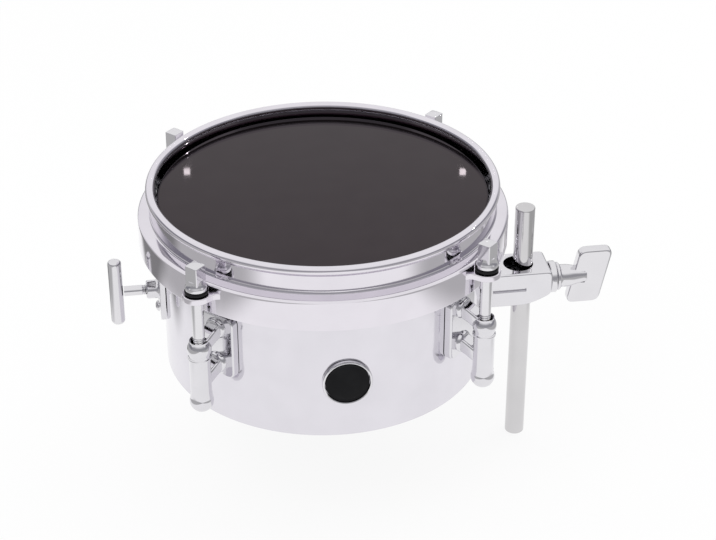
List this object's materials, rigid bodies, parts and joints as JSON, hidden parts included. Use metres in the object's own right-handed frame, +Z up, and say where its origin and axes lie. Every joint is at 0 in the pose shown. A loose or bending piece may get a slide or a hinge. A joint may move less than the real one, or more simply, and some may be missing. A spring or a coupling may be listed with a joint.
{
  "type": "micro snare drum",
  "caption": "Small chrome snare drum with open bottom, black head, tube lugs, snare wires under the head, T-handle strainer and a clamp on a vertical mounting rod.",
  "frame": {"origin": "centre of the mounting rod's flat lower end", "axes": "+Z up along the rod and the drum's axis, +X from the drum's axis to the rod and its wing nut, -Y to the badge"},
  "size_m": [0.2433, 0.1726, 0.153],
  "materials": {
    "shell_chrome": "polished chrome plate",
    "hoop_chrome": "polished chrome plate",
    "lug_chrome": "polished chrome plate",
    "bracket_chrome": "polished chrome plate",
    "hardware_chrome": "polished chrome plate",
    "rod_chrome": "drawn and plated",
    "badge_rim_chrome": "polished",
    "badge_black": "gloss",
    "head_film": "satin coated film",
    "aluminium": "satin",
    "zinc_steel": "zinc plated",
    "snare_steel": "bright wire",
    "brass": "turned",
    "black_washer": "satin"
  },
  "bodies": {
    "stand_rod": {"mount_rod": "rod_chrome"},
    "drum": {"shell": "shell_chrome", "head_film": "head_film", "flesh_hoop": "aluminium", "lug_1": "lug_chrome", "lug_2": "lug_chrome", "lug_3": "lug_chrome", "lug_4": "lug_chrome", "lug_insert_1": "brass", "lug_insert_2": "brass", "lug_insert_3": "brass", "lug_insert_4": "brass", "lug_screw_low_1": "zinc_steel", "lug_screw_low_2": "zinc_steel", "lug_screw_low_3": "zinc_steel", "lug_screw_low_4": "zinc_steel", "lug_screw_high_1": "zinc_steel", "lug_screw_high_2": "zinc_steel", "lug_screw_high_3": "zinc_steel", "lug_screw_high_4": "zinc_steel", "badge": "badge_black", "badge_rim": "badge_rim_chrome", "mount_bracket": "bracket_chrome", "butt_bracket": "zinc_steel", "bracket_screw_1": "zinc_steel", "bracket_screw_2": "zinc_steel", "clamp_washer": "hardware_chrome", "strainer_bracket": "bracket_chrome", "yoke_guide": "zinc_steel", "strainer_screw_1": "hardware_chrome", "strainer_screw_2": "hardware_chrome"},
    "hoop": {"counterhoop": "hoop_chrome", "rod_washer_1": "black_washer", "rod_washer_2": "black_washer", "rod_washer_3": "black_washer", "rod_washer_4": "black_washer"},
    "key_rod_1": {"tension_rod_1": "hardware_chrome"},
    "key_rod_2": {"tension_rod_2": "hardware_chrome"},
    "key_rod_3": {"tension_rod_3": "hardware_chrome"},
    "key_rod_4": {"tension_rod_4": "hardware_chrome"},
    "clamp_bolt": {"eye_bolt": "zinc_steel"},
    "clamp_nut": {"wing_nut": "hardware_chrome"},
    "snare_unit": {"snare_yoke": "zinc_steel", "snare_plate_yoke": "zinc_steel", "snare_plate_butt": "zinc_steel", "snare_wires": "snare_steel"},
    "snare_handle": {"t_bolt": "hardware_chrome", "t_bar": "hardware_chrome", "bolt_retainer": "zinc_steel"}
  },
  "joints": [
    {"name": "drum_height", "type": "slide", "parent": "stand_rod", "child": "drum", "axis": [0, 0, 1], "range_m": [-0.04, 0.03]},
    {"name": "hoop_lift", "type": "slide", "parent": "drum", "child": "hoop", "axis": [0, 0, 1], "range_m": [0, 0.004]},
    {"name": "tension_rod_1_turn", "type": "hinge", "parent": "hoop", "child": "key_rod_1", "pos_m": [-0.03265, 0.06435, 0.15], "axis": [0, 0, 1], "range_deg": [0, 1363]},
    {"name": "tension_rod_2_turn", "type": "hinge", "parent": "hoop", "child": "key_rod_2", "pos_m": [-0.16135, 0.06435, 0.15], "axis": [0, 0, 1], "range_deg": [0, 1363]},
    {"name": "tension_rod_3_turn", "type": "hinge", "parent": "hoop", "child": "key_rod_3", "pos_m": [-0.16135, -0.06435, 0.15], "axis": [0, 0, 1], "range_deg": [0, 1363]},
    {"name": "tension_rod_4_turn", "type": "hinge", "parent": "hoop", "child": "key_rod_4", "pos_m": [-0.03265, -0.06435, 0.15], "axis": [0, 0, 1], "range_deg": [0, 1363]},
    {"name": "eye_bolt_slide", "type": "slide", "parent": "drum", "child": "clamp_bolt", "axis": [1, 0, 0], "range_m": [-0.0015, 0]},
    {"name": "wing_nut_turn", "type": "hinge", "parent": "drum", "child": "clamp_nut", "pos_m": [0.02, 0, 0.0896], "axis": [1, 0, 0], "range_deg": [0, 541]},
    {"name": "snare_draw", "type": "slide", "parent": "drum", "child": "snare_unit", "axis": [1, 0, 0], "range_m": [0, 0.0025]},
    {"name": "t_handle_turn", "type": "hinge", "parent": "snare_unit", "child": "snare_handle", "pos_m": [-0.18, 0, 0.1003], "axis": [1, 0, 0], "range_deg": [0, 1127]}
  ],
  "couplings": [
    {"joint": "tension_rod_1_turn", "follows": "hoop_lift", "rad_per_m": 5938.7},
    {"joint": "tension_rod_2_turn", "follows": "hoop_lift", "rad_per_m": 5938.7},
    {"joint": "tension_rod_3_turn", "follows": "hoop_lift", "rad_per_m": 5938.7},
    {"joint": "tension_rod_4_turn", "follows": "hoop_lift", "rad_per_m": 5938.7},
    {"joint": "wing_nut_turn", "follows": "eye_bolt_slide", "rad_per_m": -6283.2},
    {"joint": "t_handle_turn", "follows": "snare_draw", "rad_per_m": 7854}
  ]
}
